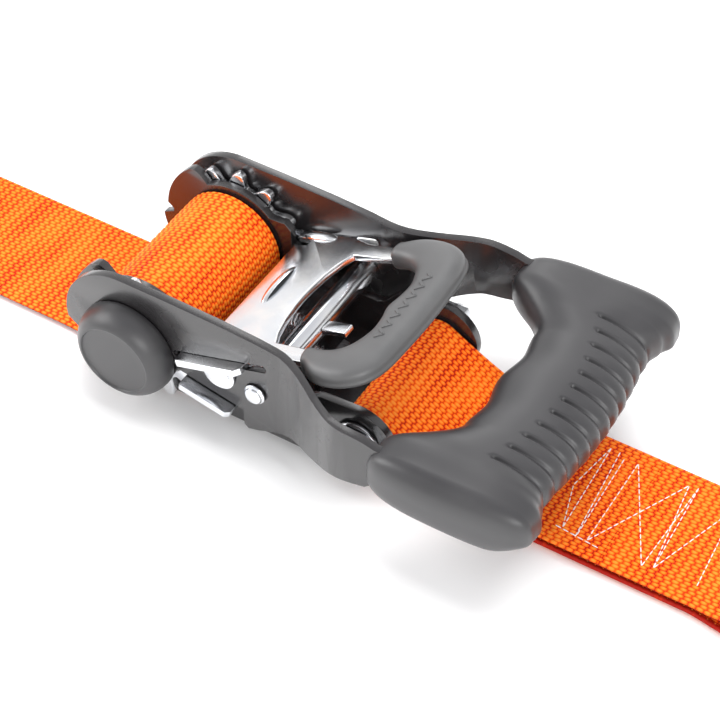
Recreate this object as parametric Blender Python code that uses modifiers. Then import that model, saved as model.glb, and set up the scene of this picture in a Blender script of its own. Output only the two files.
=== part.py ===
"""Ratchet strap: a webbing tensioner with a long rubber-gripped handle.

The spool axis runs along Y above the origin, the straps run along X, +Z is up and
the ground is at Z = 0.  "near" is the -Y side and "far" is the +Y side.  Heights
in this file are measured from the base frame's underside, and the root empty at
the end lifts the whole strap onto the ground.
"""
import math

import bmesh
import bpy
from mathutils import Matrix, Vector

MM = 0.001

# ---- clearances ----
GAP = 0.3 * MM                   # between touching pieces
RUN = 0.4 * MM                   # between pieces that turn past each other

# ---- driving sizes ----
REACH = 305 * MM                 # the hooks end this far from the spool axis, each way
WEB_WIDTH = 50 * MM
WEB_THICK = 2.3 * MM
BASE_THICK = 3 * MM              # base frame side plates and floor
WHEEL_THICK = 3 * MM
HANDLE_THICK = 3 * MM
SPOOL_Z = 22.4 * MM              # height of the spool axis above the frame's underside
MANDREL_R = 8.2 * MM
MANDREL_SLOT = 3.3 * MM          # gap between the mandrel halves, for the webbing
WOUND_R = 20.5 * MM              # outside of the wound webbing
TEETH = 12
TOOTH_TIP_R = 25 * MM
TOOTH_ROOT_R = 18.8 * MM
TOOTH_PHASE = -8                 # degrees, steep face of the first tooth above +X
LOBE_R = 28.2 * MM               # free-spool lobe of the base frame
HEAD_R = 24.5 * MM               # rounded head of the handle plates
FLARE = 13.8 * MM                # how far the handle arms spread
FLARE_START = 57 * MM
FLARE_END = 91 * MM
ARM_END = 135 * MM
PAWL_THICK = 2.5 * MM
LEVER_ANGLE = 18.2               # degrees, the plane the release lever slides in
LEVER_DROP = 1.15 * MM           # that plane passes this far below the spool axis
STOP_ANGLE = -11.8               # degrees, the plane the stop pawl slides in
EAR_REACH = 40.6 * MM            # half-width over the ears of both pawls
LEVER_IN = 2.6 * MM              # travel of the release lever into the teeth
LEVER_OUT = 4.9 * MM             # travel of the release lever away from them
STOP_IN = 2.4 * MM
STOP_OUT = 2.5 * MM
CROSSBAR_X = 49.7 * MM
CROSSBAR_Z = 25.9 * MM
CROSSBAR_R = 4.5 * MM
ANCHOR_X = 84 * MM
ANCHOR_Z = 16.8 * MM
ANCHOR_END_R = 13 * MM           # rounded end of the base frame round the anchor bolt
BOLT_R = 4 * MM
SLEEVE_R = 6 * MM
CAP_R = 18 * MM
CAP_HEIGHT = 9.7 * MM
GRIP_HALF_WIDTH = 56.8 * MM
GRIP_ROD_R = 4 * MM
WIRE_R = 4 * MM                  # hook wire
ROLL_R = 46 * MM                 # rolled-up long webbing
ROLL_CORE_R = 12 * MM
ROLL_EYE_ANGLE = 150             # degrees round the roll, where the long webbing's sewn eye lies
HOOK_LEG = 56 * MM               # eye to the centre of the hook's bends
HOOK_BEND_R = 13 * MM

# ---- the stack of pieces, from the middle of the spool outwards ----
WEB_HALF = WEB_WIDTH / 2
BASE_IN = WEB_HALF + 1 * MM
BASE_OUT = BASE_IN + BASE_THICK
WHEEL_IN = BASE_OUT + RUN
WHEEL_OUT = WHEEL_IN + WHEEL_THICK
HANDLE_IN = WHEEL_OUT + 1.5 * RUN
HANDLE_OUT = HANDLE_IN + HANDLE_THICK
WASHER_IN = HANDLE_OUT + 1.5 * GAP
WASHER_THICK = 1 * MM
CLIP_IN = WASHER_IN + WASHER_THICK + GAP
CLIP_THICK = 1 * MM
MANDREL_HALF = CLIP_IN + CLIP_THICK + GAP
CAP_TOP = HANDLE_OUT + GAP + CAP_HEIGHT
BORE_R = MANDREL_R + RUN + 0.1 * MM
LAYER_GAP = 0.2 * MM
DOUBLE_WEB = 2 * WEB_THICK + LAYER_GAP
GROUND = SPOOL_Z - TOOTH_TIP_R - 0.2 * MM            # the wheels' teeth just clear the ground
EYE_X = REACH - HOOK_LEG - HOOK_BEND_R - WIRE_R      # sewn eye of the short webbing

ROUND = 40                       # sides of a large round piece
SMALL_ROUND = 24                 # sides of a small one


# ---------------------------------------------------------------- set-up
for old in list(bpy.data.objects):
    bpy.data.objects.remove(old, do_unlink=True)

strap_parts = bpy.data.collections.new("ratchet_strap")
cutters = bpy.data.collections.new("cutters")
bpy.context.scene.collection.children.link(strap_parts)
bpy.context.scene.collection.children.link(cutters)


def finish_material(name, colour, roughness, metallic):
    made = bpy.data.materials.new(name)
    made.use_nodes = True
    shader = made.node_tree.nodes["Principled BSDF"]
    shader.inputs["Base Color"].default_value = (*colour, 1)
    shader.inputs["Roughness"].default_value = roughness
    shader.inputs["Metallic"].default_value = metallic
    return made


BLACK_STEEL = finish_material("black_painted_steel", (0.05, 0.048, 0.05), 0.42, 0.3)
ZINC = finish_material("zinc_plated_steel", (0.62, 0.63, 0.66), 0.3, 1.0)
RUBBER = finish_material("black_rubber", (0.055, 0.052, 0.053), 0.6, 0.0)
ORANGE = finish_material("orange_polyester_webbing", (0.9, 0.2, 0.02), 0.7, 0.0)


# ---------------------------------------------------------------- moving bodies
def slide_frame(angle, drop):
    """Local x slides away from the spool, y is world Y, z is the sheet's normal."""
    place = Matrix.Translation((0, 0, SPOOL_Z))
    place @= Matrix.Rotation(-math.radians(angle), 4, "Y")
    return place @ Matrix.Translation((0, 0, -drop))


LEVER_FRAME = slide_frame(LEVER_ANGLE, LEVER_DROP)
STOP_FRAME = slide_frame(STOP_ANGLE, 0)
eye_z = GROUND + WIRE_R + GAP + WEB_THICK + 0.1 * MM
eye_r = WIRE_R + GAP + WEB_THICK
tail_in = ROLL_R + GAP           # the sewn end of the long webbing lies round its roll
tail_out = tail_in + DOUBLE_WEB
tail_eye_r = tail_in + eye_r
touch = math.asin((ROLL_R + WIRE_R + 2 * GAP) / tail_eye_r)    # the hook leans on the roll
lean = math.radians(ROLL_EYE_ANGLE + 180) - touch
roll_x = -REACH + HOOK_BEND_R + WIRE_R - tail_eye_r * math.cos(math.radians(ROLL_EYE_ANGLE))
roll_x -= HOOK_LEG * math.cos(lean) + HOOK_BEND_R * math.sin(lean)
tail_x = roll_x + tail_eye_r * math.cos(math.radians(ROLL_EYE_ANGLE))
roll_z = GROUND + ROLL_R
tail_z = roll_z + tail_eye_r * math.sin(math.radians(ROLL_EYE_ANGLE))


def joint_empty(name, place, parent=None):
    """An empty on a joint's axis, which carries the pieces that move there."""
    empty = bpy.data.objects.new(name, None)
    empty.empty_display_size = 20 * MM
    strap_parts.objects.link(empty)
    if parent:
        empty.parent = parent
        empty.matrix_basis = parent.matrix_world.inverted() @ place
    else:
        empty.matrix_basis = place
    bpy.context.view_layer.update()
    return empty


ROOT = joint_empty("ratchet_strap_root", Matrix.Identity(4))
SPOOL_AXIS = Matrix.Translation((0, 0, SPOOL_Z))
HANDLE = joint_empty("handle_axis", SPOOL_AXIS, ROOT)
SPOOL = joint_empty("spool_axis", SPOOL_AXIS, ROOT)
LEVER = joint_empty("release_lever_slide", LEVER_FRAME, HANDLE)
STOP = joint_empty("stop_pawl_slide", STOP_FRAME, ROOT)
SHORT_HOOK = joint_empty("short_hook_axis", Matrix.Translation((EYE_X, 0, eye_z)), ROOT)
LONG_HOOK = joint_empty("long_hook_axis", Matrix.Translation((tail_x, 0, tail_z)), ROOT)


# ---------------------------------------------------------------- helpers
def keep(mesh, name, material, body=ROOT):
    """Give a mesh its own named object, riding on its body's empty."""
    made = bpy.data.objects.new(name, mesh)
    strap_parts.objects.link(made)
    mesh.transform(body.matrix_world.inverted())
    made.parent = body
    made.data.materials.clear()
    made.data.materials.append(material)
    made.data.shade_smooth()
    made.data.set_sharp_from_angle(angle=math.radians(35))
    return made


def evaluated_mesh(thing):
    """The finished mesh of an object, in world space, with its doubles merged."""
    bpy.context.view_layer.update()
    ready = thing.evaluated_get(bpy.context.evaluated_depsgraph_get())
    mesh = bpy.data.meshes.new_from_object(ready)
    mesh.transform(thing.matrix_world)
    work = bmesh.new()
    work.from_mesh(mesh)
    bmesh.ops.remove_doubles(work, verts=work.verts, dist=1e-6)
    work.to_mesh(mesh)
    work.free()
    bpy.data.objects.remove(thing, do_unlink=True)
    return mesh


def cut_sheet(loops, low, high, place):
    """Extrude closed loops of local (x, y) points from local z = low to high."""
    curve = bpy.data.curves.new("outline", "CURVE")
    curve.dimensions = "2D"
    curve.fill_mode = "BOTH"
    curve.extrude = (high - low) / 2
    for loop in loops:
        spline = curve.splines.new("POLY")
        spline.points.add(len(loop) - 1)
        for point, (x, y) in zip(spline.points, loop):
            point.co = (x, y, 0, 1)
        spline.use_cyclic_u = True
    drawn = bpy.data.objects.new("outline", curve)
    strap_parts.objects.link(drawn)
    drawn.matrix_world = place @ Matrix.Translation((0, 0, (high + low) / 2))
    return evaluated_mesh(drawn)


SIDE_VIEW = Matrix.Rotation(math.radians(90), 4, "X")     # local (x, y, z) -> (x, -z, y)


def side_sheet(loops, y_low, y_high):
    """A sheet whose outline is drawn in X and Z, between two values of Y."""
    return cut_sheet(loops, -y_high, -y_low, SIDE_VIEW)


def arc(x, z, radius, start, end, steps=12):
    """Points of an arc, with its angles in degrees from +x."""
    return [(x + radius * math.cos(math.radians(start + (end - start) * i / steps)),
             z + radius * math.sin(math.radians(start + (end - start) * i / steps)))
            for i in range(steps + 1)]


def circle(x, z, radius, sides=SMALL_ROUND):
    return arc(x, z, radius, 0, 360, sides)[:-1]


def mirrored(half):
    """Close a half outline, given for y >= 0, with its mirror image."""
    return half + [(x, -y) for x, y in reversed(half) if y > 1e-9]


def block(x_low, x_high, y_low, y_high, z_low, z_high, place=Matrix.Identity(4)):
    """A box between two corners of a frame."""
    size = Matrix.Diagonal((x_high - x_low, y_high - y_low, z_high - z_low, 1))
    middle = Matrix.Translation(((x_high + x_low) / 2, (y_high + y_low) / 2, (z_high + z_low) / 2))
    work = bmesh.new()
    bmesh.ops.create_cube(work, size=1, matrix=place @ middle @ size)
    mesh = bpy.data.meshes.new("block")
    work.to_mesh(mesh)
    work.free()
    return mesh


def local(frame, x, z):
    """World (X, Z) of a point of a sliding frame."""
    world = frame @ Vector((x, 0, z))
    return world.x, world.z


def slot_loop(frame, start, end, half_height, steps=6):
    """A round-ended slot, drawn in X and Z, along a sliding frame's x."""
    ends = arc(start, 0, half_height, 90, 270, steps) + arc(end, 0, half_height, -90, 90, steps)
    return [local(frame, x, z) for x, z in ends]


def turned(profile, side, x, z, steps=ROUND):
    """Turn (radius, outward distance) points about a Y axis through (x, z)."""
    mesh = bpy.data.meshes.new("profile")
    mesh.from_pydata([(r, 0, h) for r, h in profile],
                     [(i, i + 1) for i in range(len(profile) - 1)], [])
    spun = bpy.data.objects.new("turned", mesh)
    strap_parts.objects.link(spun)
    screw = spun.modifiers.new("turn", "SCREW")
    screw.steps = steps
    screw.render_steps = steps
    screw.use_merge_vertices = True
    screw.merge_threshold = 1e-6
    spun.matrix_world = Matrix.Translation((x, 0, z)) @ Matrix.Rotation(math.radians(-90 * side), 4, "X")
    mesh = evaluated_mesh(spun)
    work = bmesh.new()
    work.from_mesh(mesh)
    bmesh.ops.recalc_face_normals(work, faces=work.faces)
    work.to_mesh(mesh)
    work.free()
    return mesh


def combine(mesh, operation, *others):
    """Boolean a mesh with others, and return the result."""
    body = bpy.data.objects.new("body", mesh)
    strap_parts.objects.link(body)
    tools = []
    for other in others:
        tool = bpy.data.objects.new("cutter", other)
        cutters.objects.link(tool)
        tool.hide_render = True
        tool.display_type = "WIRE"
        step = body.modifiers.new("cut", "BOOLEAN")
        step.operation = operation
        step.object = tool
        tools.append(tool)
    result = evaluated_mesh(body)
    for tool in tools:
        bpy.data.objects.remove(tool, do_unlink=True)
    return result


def rod(radius, y_low, y_high, x, z, sides=SMALL_ROUND):
    """A solid cylinder along Y."""
    place = Matrix.Translation((x, (y_low + y_high) / 2, z)) @ SIDE_VIEW
    work = bmesh.new()
    bmesh.ops.create_cone(work, cap_ends=True, segments=sides, radius1=radius, radius2=radius,
                          depth=y_high - y_low, matrix=place)
    mesh = bpy.data.meshes.new("rod")
    work.to_mesh(mesh)
    work.free()
    return mesh


def hexagon(x, z, across):
    return arc(x, z, across / math.sqrt(3), 0, 360, 6)[:-1]


SIDES = (("near", -1), ("far", 1))


def span(side, inner, outer):
    """The two Y values of a stretch on one side, low first."""
    return (side * inner, side * outer) if side > 0 else (side * outer, side * inner)


# ---------------------------------------------------------------- base frame
def base_outline():
    """Side plate: hook, lobe, rim round the spool, shoulder, waist and anchor end."""
    waist_z = CROSSBAR_Z - CROSSBAR_R - 1.9 * MM
    shoulder_z = 27 * MM
    rim_r = WOUND_R + 0.3 * MM
    hook = arc(0, SPOOL_Z, 30.4 * MM, 187, 197, 3)
    notch = arc(0, SPOOL_Z, 25.8 * MM, 180, 183, 2)
    corner = [arc(0, SPOOL_Z, LOBE_R - cut, angle, angle + 1, 1)[0]
              for cut, angle in ((4.4 * MM, 121.5), (2 * MM, 122.8), (0.6 * MM, 125.4))]
    lobe = corner + arc(0, SPOOL_Z, LOBE_R, 129, 176, 12)
    rim = arc(0, SPOOL_Z, rim_r, 44, 120, 14)
    outline = [(-15 * MM, 0), (-22 * MM, 2 * MM), (-27.5 * MM, 8 * MM)]
    outline += list(reversed(notch + hook))
    outline += list(reversed(rim + lobe))
    outline += [(19 * MM, 37 * MM), (21 * MM, 37.4 * MM), (23.6 * MM, 35 * MM),
                (23.8 * MM, shoulder_z + 1 * MM), (25 * MM, shoulder_z), (36 * MM, shoulder_z),
                (39 * MM, shoulder_z - 2 * MM), (43 * MM, waist_z + 0.5 * MM), (45 * MM, waist_z),
                (58 * MM, waist_z), (61 * MM, waist_z + 1.5 * MM), (66 * MM, 27 * MM),
                (70 * MM, 28.8 * MM)]
    outline += arc(ANCHOR_X, ANCHOR_Z, ANCHOR_END_R, 95, -85, 18)
    outline += [(72 * MM, 0.6 * MM), (68 * MM, 0)]
    return outline


STOP_SLOT_START = TOOTH_TIP_R - STOP_IN - GAP
STOP_EAR_END = 42 * MM
base_holes = [
    circle(0, SPOOL_Z, BORE_R, ROUND),
    circle(ANCHOR_X, ANCHOR_Z, BOLT_R + GAP),
    slot_loop(STOP_FRAME, STOP_SLOT_START + PAWL_THICK / 2,
              STOP_EAR_END + STOP_OUT + 2.5 * GAP - PAWL_THICK / 2, PAWL_THICK / 2 + GAP),
]
floor_start = 30 * MM
floor_end = 74 * MM
lug_start = 56 * MM              # spring seat, measured along the stop pawl's slide
lug_thick = 2.5 * MM
lug_half = 8 * MM
base_plates = [side_sheet([base_outline()] + base_holes, *span(side, BASE_IN, BASE_OUT))
               for _, side in SIDES]
base_floor = block(floor_start, floor_end, -BASE_IN - BASE_THICK / 2, BASE_IN + BASE_THICK / 2,
                   0, BASE_THICK)
lug = block(lug_start, lug_start + lug_thick, -lug_half, lug_half, -9.2 * MM, 5 * MM, STOP_FRAME)
TONGUE_HALF = 2.5 * MM
TONGUE_THICK = 2 * MM
lug_hole = block(lug_start - 1 * MM, lug_start + lug_thick + 1 * MM, -TONGUE_HALF - GAP,
                 TONGUE_HALF + GAP, -TONGUE_THICK / 2 - GAP, TONGUE_THICK / 2 + GAP, STOP_FRAME)
lug = combine(lug, "DIFFERENCE", lug_hole)
keep(combine(base_plates[0], "UNION", base_floor, base_plates[1], lug), "base_frame", BLACK_STEEL)

# ---------------------------------------------------------------- anchor bolt
bolt_head = 5 * MM
washer_thick = 1.2 * MM
washer_r = 8.2 * MM
hex_across = 13 * MM
washer_face = BASE_OUT + GAP + washer_thick
for name, side in SIDES:
    ring = [circle(ANCHOR_X, ANCHOR_Z, washer_r), circle(ANCHOR_X, ANCHOR_Z, BOLT_R + GAP)]
    keep(side_sheet(ring, *span(side, BASE_OUT + GAP, washer_face)), f"anchor_washer_{name}", ZINC)
head = side_sheet([hexagon(ANCHOR_X, ANCHOR_Z, hex_across)], *span(-1, washer_face + GAP,
                                                                     washer_face + GAP + bolt_head))
shank_end = washer_face + GAP + 6.5 * MM
shank = rod(BOLT_R, -washer_face - GAP - 1 * MM, shank_end, ANCHOR_X, ANCHOR_Z)
keep(combine(head, "UNION", shank), "anchor_bolt", ZINC)
nut_start = washer_face + GAP
nut_height = 5 * MM
dome_r = 6 * MM
nut_bore = BOLT_R + GAP
nut_dome = [(nut_bore, nut_start + 1 * MM), (nut_bore, shank_end + GAP), (0, shank_end + GAP),
            (0, nut_start + nut_height + 4.4 * MM), (2.6 * MM, nut_start + nut_height + 4 * MM),
            (4.6 * MM, nut_start + nut_height + 2.6 * MM), (dome_r, nut_start + nut_height),
            (dome_r, nut_start + 1 * MM), (nut_bore, nut_start + 1 * MM)]
nut_hex = side_sheet([hexagon(ANCHOR_X, ANCHOR_Z, hex_across), circle(ANCHOR_X, ANCHOR_Z, nut_bore)],
                     nut_start, nut_start + nut_height)
keep(combine(nut_hex, "UNION", turned(nut_dome, 1, ANCHOR_X, ANCHOR_Z, SMALL_ROUND)),
     "anchor_cap_nut", ZINC)
sleeve = [circle(ANCHOR_X, ANCHOR_Z, SLEEVE_R, 32), circle(ANCHOR_X, ANCHOR_Z, BOLT_R + GAP)]
keep(side_sheet(sleeve, -BASE_IN + GAP, BASE_IN - GAP), "anchor_sleeve", ZINC)

# ---------------------------------------------------------------- short webbing
loop_r = SLEEVE_R + GAP + WEB_THICK
short_web = arc(ANCHOR_X, ANCHOR_Z, loop_r, 280, 60, 18)
web_top = GROUND + DOUBLE_WEB
short_web += [(120 * MM, web_top + 3.8 * MM), (126 * MM, web_top + 1 * MM), (132 * MM, web_top),
              (EYE_X - 26 * MM, web_top)]
short_web += arc(EYE_X, eye_z, eye_r, 104, -80, 16)
short_web += [(EYE_X - 20 * MM, GROUND), (124 * MM, GROUND), (118 * MM, GROUND + 1.6 * MM),
              (98 * MM, GROUND + 12.2 * MM)]
keep(side_sheet([short_web, circle(ANCHOR_X, ANCHOR_Z, SLEEVE_R + GAP, 32),
                 circle(EYE_X, eye_z, WIRE_R + GAP)], -WEB_HALF, WEB_HALF),
     "short_webbing", ORANGE)


# ---------------------------------------------------------------- hooks
def wire_hook(name, eye, along, up, drop, body):
    """Double-J hook of bent wire: a bar through the eye, two legs and two bends."""
    bar_half = WEB_HALF + 5 * MM
    tip_half = 13 * MM
    corner = 6 * MM
    leg = HOOK_LEG
    bend = HOOK_BEND_R
    sag = -drop / leg
    half = [(0, 0, 0), (0, bar_half - corner, 0)]
    for i in range(1, 6):
        turn = math.radians(90 * i / 5)
        half.append((corner * (1 - math.cos(turn)), bar_half - corner + corner * math.sin(turn), 0))
    half.append((0.3 * leg, bar_half - 1.5 * MM, 0))
    half.append((0.7 * leg, tip_half + 4 * MM, 0))
    half.append((0.88 * leg, tip_half, 0))
    for i in range(0, 13):
        turn = math.radians(-90 + 205 * i / 12)
        half.append((leg + bend * math.cos(turn), tip_half, bend + bend * math.sin(turn)))
    half.append((leg - 0.85 * bend, tip_half, 1.65 * bend))
    path = [(x, -y, z) for x, y, z in reversed(half[1:])] + half
    curve = bpy.data.curves.new(name, "CURVE")
    curve.dimensions = "3D"
    curve.bevel_depth = WIRE_R
    curve.bevel_resolution = 2
    curve.use_fill_caps = True
    spline = curve.splines.new("POLY")
    spline.points.add(len(path) - 1)
    for point, (x, y, z) in zip(spline.points, path):
        out = eye + along * x + up * (z + sag * x) + Vector((0, y, 0))
        point.co = (*out, 1)
    drawn = bpy.data.objects.new(name, curve)
    strap_parts.objects.link(drawn)
    return keep(evaluated_mesh(drawn), name, ZINC, body)


wire_hook("short_end_hook", Vector((EYE_X, 0, eye_z)), Vector((1, 0, 0)), Vector((0, 0, 1)),
          eye_z - WIRE_R - GROUND, SHORT_HOOK)

# ---------------------------------------------------------------- long webbing
clear_top = WEB_THICK + GAP      # the flat run stops where the roll comes down to this
flat_start = roll_x + math.sqrt(ROLL_R ** 2 - (ROLL_R - clear_top) ** 2) + GAP
keep(block(flat_start, -6 * MM, -WEB_HALF, WEB_HALF, GROUND, GROUND + WEB_THICK),
     "long_webbing_flat", ORANGE)
roll_loops = [circle(roll_x, roll_z, ROLL_R, 64), circle(roll_x, roll_z, ROLL_CORE_R, 32)]
keep(side_sheet(roll_loops, -WEB_HALF, WEB_HALF), "long_webbing_roll", ORANGE)
tail = arc(roll_x, roll_z, tail_in, 84, ROLL_EYE_ANGLE, 12)
tail += arc(tail_x, tail_z, eye_r, ROLL_EYE_ANGLE + 180, ROLL_EYE_ANGLE - 14, 14)[1:]
tail += list(reversed(arc(roll_x, roll_z, tail_out, 84, ROLL_EYE_ANGLE - 17, 10)))
keep(side_sheet([tail, circle(tail_x, tail_z, WIRE_R + GAP)], -WEB_HALF, WEB_HALF),
     "long_webbing_end", ORANGE)
wire_hook("long_end_hook", Vector((tail_x, 0, tail_z)), Vector((math.cos(lean), 0, math.sin(lean))),
          Vector((math.sin(lean), 0, -math.cos(lean))), 0, LONG_HOOK)


# ---------------------------------------------------------------- spool
def half_round(radius, slot_half, above, sides=20):
    """D-shaped outline on one side of the mandrel's slot."""
    start = math.degrees(math.asin(slot_half / radius))
    points = arc(0, 0, radius, start, 180 - start, sides)
    sign = 1 if above else -1
    return [(x, SPOOL_Z + sign * z) for x, z in points]


for name, above in (("upper", True), ("lower", False)):
    keep(side_sheet([half_round(MANDREL_R, MANDREL_SLOT / 2, above)], -MANDREL_HALF, MANDREL_HALF),
         f"mandrel_{name}_half", ZINC, SPOOL)


def tooth_outline():
    """Saw teeth: a steep face towards the clockwise side and a long back."""
    shape = ((0, TOOTH_ROOT_R + 0.3 * MM), (1.6, TOOTH_TIP_R - 3 * MM), (3.2, TOOTH_TIP_R - 1.2 * MM),
             (5.4, TOOTH_TIP_R - 0.3 * MM), (8.4, TOOTH_TIP_R), (11.4, TOOTH_TIP_R - 0.5 * MM),
             (14.4, TOOTH_TIP_R - 1.9 * MM), (17.4, TOOTH_TIP_R - 3.9 * MM), (20.2, TOOTH_ROOT_R + 0.6 * MM),
             (23, TOOTH_ROOT_R), (27, TOOTH_ROOT_R - 0.1 * MM))
    outline = []
    for tooth in range(TEETH):
        base = TOOTH_PHASE + 360 / TEETH * tooth
        for step, radius in shape:
            turn = math.radians(base + step * 12 / TEETH)
            outline.append((radius * math.cos(turn), SPOOL_Z + radius * math.sin(turn)))
    return outline


d_holes = [half_round(MANDREL_R + GAP, MANDREL_SLOT / 2 - GAP, above) for above in (True, False)]
for name, side in SIDES:
    keep(side_sheet([tooth_outline()] + d_holes, *span(side, WHEEL_IN, WHEEL_OUT)),
         f"ratchet_wheel_{name}", ZINC, SPOOL)
    washer = [circle(0, SPOOL_Z, 12.5 * MM, ROUND), circle(0, SPOOL_Z, BORE_R - 0.2 * MM, ROUND)]
    keep(side_sheet(washer, *span(side, WASHER_IN, WASHER_IN + WASHER_THICK)),
         f"spool_washer_{name}", ZINC, SPOOL)
    clip_in = arc(0, SPOOL_Z, MANDREL_R + GAP, -60, 240, 30)
    clip_out = arc(0, SPOOL_Z, MANDREL_R + 2.3 * MM, 240, -60, 30)
    keep(side_sheet([clip_in + clip_out], *span(side, CLIP_IN, CLIP_IN + CLIP_THICK)),
         f"spool_clip_{name}", ZINC, SPOOL)
    hollow_r = CAP_R - 3 * MM
    cap_base = HANDLE_OUT + GAP
    hollow_top = MANDREL_HALF + 1.2 * MM
    cap = [(hollow_r, cap_base), (hollow_r, hollow_top), (0, hollow_top), (0, CAP_TOP - 0.6 * MM),
           (CAP_R - 6 * MM, CAP_TOP - 0.6 * MM), (CAP_R - 5.6 * MM, CAP_TOP),
           (CAP_R - 4.4 * MM, CAP_TOP - 0.3 * MM), (CAP_R - 2.2 * MM, CAP_TOP - 2 * MM),
           (CAP_R - 0.8 * MM, CAP_TOP - 4.6 * MM), (CAP_R, cap_base + 1.6 * MM), (CAP_R, cap_base),
           (hollow_r, cap_base)]
    keep(turned(cap, side, 0, SPOOL_Z), f"hub_cap_{name}", RUBBER, SPOOL)
keep(side_sheet([circle(0, SPOOL_Z, WOUND_R, 64)] + d_holes, -WEB_HALF, WEB_HALF),
     "wound_webbing", ORANGE, SPOOL)

# ---------------------------------------------------------------- stop pawl
stop_front = max(WOUND_R + STOP_IN + 1 * MM, TOOTH_TIP_R - 1.1 * MM)
stop_tail = lug_start + lug_thick + STOP_OUT + 4 * MM
stop_half = [(stop_front, 0), (stop_front, BASE_IN - 0.5 * MM),
             (TOOTH_TIP_R + GAP, BASE_IN - 0.5 * MM), (TOOTH_TIP_R + GAP, HANDLE_IN - 0.3 * MM),
             (22.2 * MM, HANDLE_IN - 0.3 * MM), (22.2 * MM, EAR_REACH - 0.6 * MM),
             (22.8 * MM, EAR_REACH), (STOP_EAR_END - 1.4 * MM, EAR_REACH),
             (STOP_EAR_END, EAR_REACH - 1.4 * MM), (STOP_EAR_END, BASE_IN - 0.6 * MM),
             (STOP_EAR_END + 1 * MM, BASE_IN - 1.6 * MM), (STOP_EAR_END + 1 * MM, 6 * MM)]
stop_half += [(STOP_EAR_END + 1 * MM, TONGUE_HALF), (stop_tail, TONGUE_HALF), (stop_tail, 0)]
stop_plate = cut_sheet([mirrored(stop_half)], -PAWL_THICK / 2, PAWL_THICK / 2, STOP_FRAME)
thin = PAWL_THICK
tongue_trim = [block(STOP_EAR_END + 2.5 * MM, stop_tail + 1 * MM, -4 * MM, 4 * MM, low, high,
                     STOP_FRAME)
               for low, high in ((TONGUE_THICK / 2, thin), (-thin, -TONGUE_THICK / 2))]
keep(combine(stop_plate, "DIFFERENCE", *tongue_trim), "stop_pawl", ZINC, STOP)


# ---------------------------------------------------------------- springs
def coil_spring(name, frame, start, end, drop, radius, wire, turns, body=ROOT):
    """Compression spring round a tongue, along a sliding frame's x."""
    steps = 8
    first = start + wire + GAP
    last = end - wire - GAP
    path = []
    for i in range(turns * steps + 1):
        turn = 2 * math.pi * i / steps
        along = first + (last - first) * i / (turns * steps)
        path.append(frame @ Vector((along, radius * math.cos(turn), drop + radius * math.sin(turn))))
    curve = bpy.data.curves.new(name, "CURVE")
    curve.dimensions = "3D"
    curve.bevel_depth = wire
    curve.bevel_resolution = 2
    curve.use_fill_caps = True
    spline = curve.splines.new("POLY")
    spline.points.add(len(path) - 1)
    for point, out in zip(spline.points, path):
        point.co = (*out, 1)
    drawn = bpy.data.objects.new(name, curve)
    strap_parts.objects.link(drawn)
    return keep(evaluated_mesh(drawn), name, ZINC, body)


spring_wire = 0.45 * MM
spring_r = 3.6 * MM
coil_spring("stop_pawl_spring", STOP_FRAME, STOP_EAR_END + 1 * MM, lug_start, 0,
            spring_r, spring_wire, 6)

# ---------------------------------------------------------------- handle plates
GRIP_START = 103.5 * MM
LEVER_EAR_END = 48.2 * MM
ear_front = 21.4 * MM
lever_slot_end = LEVER_EAR_END + LEVER_OUT + 3.2 * MM
guide_x = 36 * MM
guide_z = 28.2 * MM
guide_pin_z = guide_z - 1.8 * MM
guide_pin_r = 1.8 * MM
crossbar_pin_r = 3 * MM


def handle_outline():
    """Head, notch for the stop pawl's ear, waist and flared arm, in X and Z."""
    low_r = CAP_R + 1.2 * MM
    head_x = -1.5 * MM
    head_z = 25.5 * MM
    notch_lift = PAWL_THICK / 2 + 0.6 * MM
    notch_end = STOP_EAR_END + STOP_OUT + 0.6 * MM
    notch_far = local(STOP_FRAME, notch_end, notch_lift)
    outline = arc(head_x, head_z, HEAD_R, 90, 188, 18)
    outline += arc(0, SPOOL_Z, low_r + 0.6 * MM, 197, 205, 2)
    outline += arc(0, SPOOL_Z, low_r, 212, 290, 14)
    outline += [(13 * MM, 9.6 * MM), local(STOP_FRAME, 18.6 * MM, notch_lift - 1.2 * MM),
                local(STOP_FRAME, 20 * MM, notch_lift), notch_far,
                (notch_far[0], 8.4 * MM), (notch_far[0] + 1.6 * MM, 7 * MM),
                (50 * MM, 8.2 * MM), (58 * MM, 11.4 * MM), (64 * MM, 13.4 * MM), (72 * MM, 15.4 * MM),
                (80 * MM, 18.8 * MM), (87 * MM, 21 * MM), (94 * MM, 22.2 * MM), (99 * MM, 23.4 * MM),
                (GRIP_START - 1 * MM, 26.5 * MM), (ARM_END, 28.5 * MM), (ARM_END, 42 * MM),
                (GRIP_START - 1 * MM, 42.5 * MM), (98 * MM, 43.6 * MM), (93 * MM, 44 * MM),
                (84 * MM, 44.2 * MM), (76 * MM, 45 * MM), (68 * MM, 46.4 * MM), (60 * MM, 47.7 * MM),
                (50 * MM, 48.8 * MM), (36 * MM, 49.6 * MM), (16 * MM, 50 * MM)]
    return outline


def flare_at(x):
    """Outward shift of the arms: an S-bend between two stations."""
    t = min(max((x - FLARE_START) / (FLARE_END - FLARE_START), 0), 1)
    return FLARE * t * t * (3 - 2 * t)


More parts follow.
